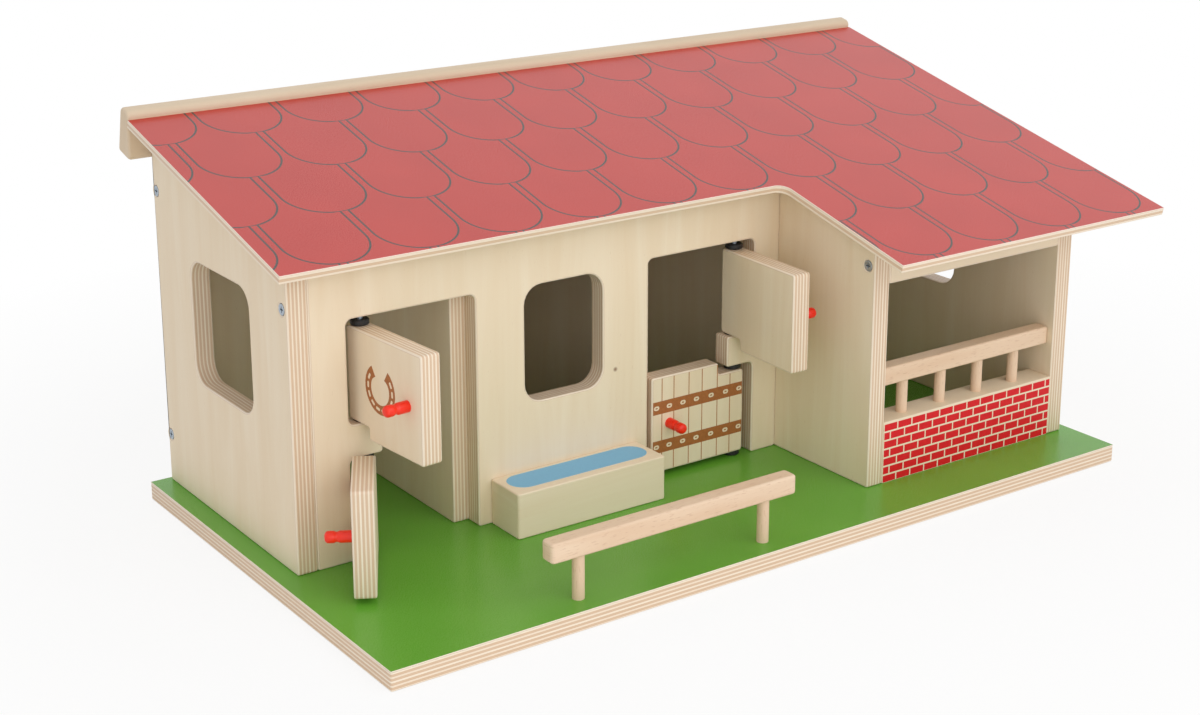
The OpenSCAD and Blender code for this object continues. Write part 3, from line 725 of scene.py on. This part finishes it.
def nail_mark(turn, radius, length, width):
    """A nail hole of the printed horseshoe: a short bar across the shoe's line."""
    mark = round_rectangle(-length / 2, length / 2, -width / 2, width / 2, width * 0.35)
    angle = math.radians(turn + 90)
    cx, cy = radius * math.cos(math.radians(turn)), radius * math.sin(math.radians(turn))
    return [(cx + u * math.cos(angle) - v * math.sin(angle), cy + u * math.sin(angle) + v * math.cos(angle))
            for u, v in mark]


def leaf(side, level, angle):
    """One leaf with its prints and its peg. side is 1 at the left doorway and -1 at the right."""
    upper = level == "upper"
    where = f"{level}_{'left' if side > 0 else 'right'}"
    body = f"{where}_leaf"
    turn = math.radians(angle)
    along = Vector((math.cos(turn), -side * math.sin(turn), 0))
    out = Vector((-side * math.sin(turn), -math.cos(turn), 0))
    pin = Vector((HINGE_JAMBS[0 if side > 0 else 1] + side * PIN_INSET, PIN_Y, 0))
    outline = [(-MARGIN, LEAF_LOW), (REACH, LEAF_LOW), (REACH, LEAF_HIGH), (NOTCH[0], LEAF_HIGH),
               NOTCH, (-MARGIN, NOTCH[1])]
    face = place(pin + out * LEAF_T / 2, along, UP)
    board(f"leaf_{where}", over(outline, side, upper), LEAF_T, face, BOARD, body=body,
          nodes=(f"leaf_{where}",), rounding=1.4, seed=angle / 17)
    print_place = place(pin + out * (LEAF_T + INK) / 2, along, UP)
    prints = new_shape()
    lines = new_shape()
    if upper:
        shoe_z = LEAF_PAIR - SHOE_Z
        shoe = [(SHOE_U + u, shoe_z - v) for u, v in ring_arc(SHOE_R, SHOE_HALF, 123, 417)]
        marks = [[(SHOE_U + u, shoe_z - v) for u, v in nail_mark(a, SHOE_R, 4.4, 2.0)] for a in NAILS]
        slab(prints, list(reversed(over(shoe, side, upper))), INK, print_place, rounding=0.03,
             holes=[list(reversed(over(mark, side, upper))) for mark in marks])
    else:
        for low, high in STRAPS:
            middle = (low + high) / 2
            eyes = [over(round_rectangle(REACH - at - 2.5, REACH - at + 2.5, middle - 1.7, middle + 1.7,
                                         1.69), side, upper) for at in EYES]
            strap = over(rectangle(-MARGIN + 1.0, REACH - 1.2, low, high), side, upper)
            slab(prints, strap, INK, print_place, holes=eyes, rounding=0.03)
            for at in EYES:
                mark = round_rectangle(REACH - at - 1.0, REACH - at + 1.0, middle - 0.5, middle + 0.5, 0.49)
                slab(prints, over(mark, side, upper), INK, print_place, rounding=0.03)
        for at in PLANKS:
            top = LEAF_HIGH if REACH - at > NOTCH[0] else NOTCH[1]
            levels = (LEAF_LOW + 1.2, *STRAPS[0], *STRAPS[1], top - 1.2)
            for low, high in zip(levels[::2], levels[1::2]):
                slab(lines, over(rectangle(REACH - at - 0.4, REACH - at + 0.4, low, high), side, upper),
                     INK, print_place, rounding=0.03)
        finished(f"planks_{where}", lines, (LINE_BROWN, LINE_BROWN), body, "plywood")
    finished(f"print_{where}", prints, (BROWN, BROWN), body, "plywood")
    radius, length, groove, groove_at = 4, 28, 0.7, 20
    end_r = 2.8
    bends = [math.radians(a) for a in range(0, 91, 15)]
    profile = [(0, 0), (radius, 0)]
    profile += [(radius - groove * (1 + math.cos(math.radians(a))) / 2, groove_at + a / 75)
                for a in range(-180, 181, 45)]
    profile += [(radius - end_r * (1 - math.cos(a)), length - end_r * (1 - math.sin(a))) for a in bends]
    profile.append((0, length))
    peg_z = LEAF_PAIR - PEG_Z if upper else PEG_Z
    foot = pin + out * (LEAF_T / 2 - PEG_IN) + along * PEG_U * side + Vector((0, 0, peg_z))
    turned(f"peg_{where}", profile, place(foot, UP, Vector(out).cross(Vector(UP))), (PEG_RED,), body,
           "red_painted_wood", (f"peg_{where}",))


for side, level, angle in ((1, "upper", 85.5), (1, "lower", 119.5), (-1, "upper", 88), (-1, "lower", 0)):
    leaf(side, level, angle)


# The metal: two steel hinge rods with black washers on them, the thinnest a black disc of painted
# shade, and cross-head zinc screws in the side walls, the back wall and the base.
ZINC = material("zinc_steel", IOR=1.5, Metallic=1.0)
brushed = noise(ZINC, stretched(ZINC, 900, 900), 3.0, 0.6)
paint(ZINC, Base_Color=blend(ZINC, between(ZINC, brushed, 0.3, 0.7), rgb(172, 184, 196), rgb(194, 204, 214)),
      Roughness=between(ZINC, brushed, 0.2, 0.8, 0.34, 0.5))
bump(ZINC, brushed, 0.08, 0.0002)
BLACK = matt_colour("black_washer", rgb(30, 30, 32), rgb(40, 40, 42))
# The screws' recesses: a dark disc of painted shade sits under each cross.
DARK = matt_colour("recess_shade", rgb(62, 70, 78), rgb(74, 82, 90))
ROD = 2
WASHER_R, WASHER_BORE = 6.5, 2.05
WASHER_T, LUG_GAP_SHADE_T, WASHER_PLAY = 3.8, 0.8, 0.2
for side, jamb in (("left", HINGE_JAMBS[0] + PIN_INSET), ("right", HINGE_JAMBS[1] - PIN_INSET)):
    z0, z1 = span(f"hinge_rod_{side}")[4:]
    turned(f"hinge_rod_{side}", [(0, z0), (ROD, z0), (ROD, z1), (0, z1)],
           place((jamb, PIN_Y, 0), ACROSS, BACK), (ZINC,), slot="zinc_steel", nodes=(f"hinge_rod_{side}",))
    top = LEAF_PAIR - LEAF_LOW + WASHER_PLAY
    # Washers under the lower leaf, between its notch and the lug, on the lug's top and above the upper leaf.
    # The thin one on the lug's top is painted shade: a black disc that darkens the gap under the upper leaf's
    # notch.
    levels = ((0, WASHER_T), (LUG[1] - WASHER_T, WASHER_T), (LUG[2], LUG_GAP_SHADE_T), (top, WASHER_T))
    for i, (z, thick) in enumerate(levels):
        edge = thick * 0.2
        ring = [(WASHER_BORE, z), (WASHER_R - edge, z), (WASHER_R, z + edge), (WASHER_R, z + thick - edge),
                (WASHER_R - edge, z + thick), (WASHER_BORE, z + thick)]
        turned(f"washer_{side}_{i + 1}", ring, place((jamb, PIN_Y, 0), ACROSS, BACK), (BLACK,),
               slot="black_washer", nodes=("hinge_washers",))


def screw_heads(name, spots, cad_node):
    """Countersunk heads with a cross recess, and under each cross a dark disc of painted shade. A spot is a
    point on the surface and two axes.
    """
    heads = new_shape()
    arm, width = 2.1, 0.5
    cross = [(arm, -width), (arm, width), (width, width), (width, arm), (-width, arm),
             (-width, width), (-arm, width), (-arm, -width), (-width, -width), (-width, -arm),
             (width, -arm), (width, -width)]
    recess = new_shape()
    for point, u, v in spots:
        slab(heads, circle(0, 0, 3.85), 1.6, place(point, u, v), holes=[cross], rounding=0.25)
        inward = Vector(u).cross(Vector(v)) * -1.2
        slab(recess, circle(0, 0, 2.6, 16), 0.3, place(Vector(point) + inward, u, v), rounding=0.05)
    finished(name, heads, (ZINC, ZINC), "barn", "zinc_steel", cad_node)
    finished(f"{name}_recess", recess, (DARK, DARK), "barn", "zinc_steel")


left_face, bay_left, bay_right, right_face = (span("left_wall")[0], span("bay_wall")[0],
                                              span("bay_wall")[1], span("right_wall")[1])
LEFTWARDS = ((0, -1, 0), UP)
RIGHTWARDS = (BACK, UP)
side_spots = [((left_face, y, z), *LEFTWARDS) for y, z in side_holes["left_wall"]]
side_spots += [((bay_left, *side_holes["bay_wall"][0]), *LEFTWARDS)]
side_spots += [((bay_right, y, z), *RIGHTWARDS) for y, z in side_holes["bay_wall"][1:]]
side_spots += [((right_face, y, z), *RIGHTWARDS) for y, z in side_holes["right_wall"]]
screw_heads("side_screws", side_spots, "side_screws")
BACKWARDS = ((-1, 0, 0), UP)
screw_heads("back_screws", [((x, span("back_wall")[3], z), *BACKWARDS) for x, z in back_screws],
            "back_screws")
DOWNWARDS = (BACK, ACROSS)
screw_heads("base_screws", [((x, y, base_z0 + 0.5), *DOWNWARDS) for x, y in under_screws], "base_screws")


# The camera of the photograph: from the front left and above, with a normal lens.
camera_data = bpy.data.cameras.new("camera")
camera_data.sensor_width = 36
camera_data.lens = 59.79
camera_data.shift_x = 0.005
camera_data.shift_y = -0.1
camera_data.clip_start = 0.05
camera_data.clip_end = 50
camera = bpy.data.objects.new("camera", camera_data)
bpy.context.collection.objects.link(camera)
turn, rise, roll = (math.radians(a) for a in (-34.96, 15.56, -0.11))
view_back = Vector((math.sin(turn) * math.cos(rise), -math.cos(turn) * math.cos(rise), math.sin(rise)))
view_right = Vector((math.cos(turn), math.sin(turn), 0))
view_up = view_back.cross(view_right)
rolled_right = view_right * math.cos(roll) + view_up * math.sin(roll)
rolled_up = view_up * math.cos(roll) - view_right * math.sin(roll)
camera.matrix_world = Matrix.Translation(BASE_CORNER + Vector((-0.518, -0.954, 0.57))) @ Matrix(
    (rolled_right, rolled_up, view_back)).transposed().to_4x4()
bpy.context.scene.camera = camera


# The light: a white studio. The world is white to the camera and in reflections, and lights the
# object more softly. A broad lamp stands above the front right, and a small warm one low in
# front lights the bay and the rooms.
world = bpy.data.worlds.new("studio")
bpy.context.scene.world = world
world.use_nodes = True
tree = world.node_tree
tree.nodes.clear()
rays = tree.nodes.new("ShaderNodeLightPath")
white_rays = tree.nodes.new("ShaderNodeMath")
white_rays.operation = "MAXIMUM"
tree.links.new(rays.outputs["Is Camera Ray"], white_rays.inputs[0])
tree.links.new(rays.outputs["Is Glossy Ray"], white_rays.inputs[1])
soft_sky = tree.nodes.new("ShaderNodeBackground")
soft_sky.inputs["Color"].default_value = (1, 1, 1, 1)
soft_sky.inputs["Strength"].default_value = 0.76
white_sky = tree.nodes.new("ShaderNodeBackground")
white_sky.inputs["Color"].default_value = (1, 1, 1, 1)
white_sky.inputs["Strength"].default_value = 1.0
sky = tree.nodes.new("ShaderNodeMixShader")
tree.links.new(white_rays.outputs[0], sky.inputs[0])
tree.links.new(soft_sky.outputs[0], sky.inputs[1])
tree.links.new(white_sky.outputs[0], sky.inputs[2])
sky_out = tree.nodes.new("ShaderNodeOutputWorld")
tree.links.new(sky.outputs[0], sky_out.inputs["Surface"])


def soft_lamp(name, location, target, size, power, colour):
    """A square area lamp that faces a target point."""
    data = bpy.data.lights.new(name, "AREA")
    data.size = size
    data.energy = power
    data.color = colour
    lamp = bpy.data.objects.new(name, data)
    bpy.context.collection.objects.link(lamp)
    lamp.location = location
    lamp.rotation_euler = (Vector(location) - Vector(target)).to_track_quat("Z", "Y").to_euler()


soft_lamp("key", (0.5, -1.6, 1.6), (0, 0, 0.1), 1.6, 9, (1.0, 0.98, 0.96))
soft_lamp("fill", (-0.5, -1.3, 0.5), (0.15, 0, 0.1), 0.9, 3.2, (1.0, 0.95, 0.88))


# The floor: a white sheet that fades into the white surroundings and keeps a soft shadow.
bm = bmesh.new()
bmesh.ops.create_grid(bm, x_segments=2, y_segments=2, size=6)
floor_mesh = bpy.data.meshes.new("floor")
bm.to_mesh(floor_mesh)
bm.free()
floor = bpy.data.objects.new("floor", floor_mesh)
floor.location.z = cad_box[0][2] - 0.0002
bpy.context.collection.objects.link(floor)
FLOOR = bpy.data.materials.new("floor")
FLOOR.use_nodes = True
tree = FLOOR.node_tree
tree.nodes.clear()
rays = tree.nodes.new("ShaderNodeLightPath")
paper = tree.nodes.new("ShaderNodeBsdfDiffuse")
paper.inputs["Color"].default_value = (0.94, 0.94, 0.94, 1)
glow = tree.nodes.new("ShaderNodeEmission")
glow.inputs["Color"].default_value = (1, 1, 1, 1)
spot = tree.nodes.new("ShaderNodeTexCoord")
away = tree.nodes.new("ShaderNodeVectorMath")
away.operation = "LENGTH"
tree.links.new(spot.outputs["Object"], away.inputs[0])
fade = tree.nodes.new("ShaderNodeMapRange")
fade.inputs["From Min"].default_value = 0.42
fade.inputs["From Max"].default_value = 0.8
fade.inputs["To Min"].default_value = 0.82
tree.links.new(away.outputs["Value"], fade.inputs["Value"])
seen = tree.nodes.new("ShaderNodeMath")
seen.operation = "MULTIPLY"
tree.links.new(fade.outputs[0], seen.inputs[0])
tree.links.new(rays.outputs["Is Camera Ray"], seen.inputs[1])
both = tree.nodes.new("ShaderNodeMixShader")
tree.links.new(seen.outputs[0], both.inputs[0])
tree.links.new(paper.outputs[0], both.inputs[1])
tree.links.new(glow.outputs[0], both.inputs[2])
floor_out = tree.nodes.new("ShaderNodeOutputMaterial")
tree.links.new(both.outputs[0], floor_out.inputs["Surface"])
floor_mesh.materials.append(FLOOR)


bpy.context.scene.view_settings.view_transform = "Standard"
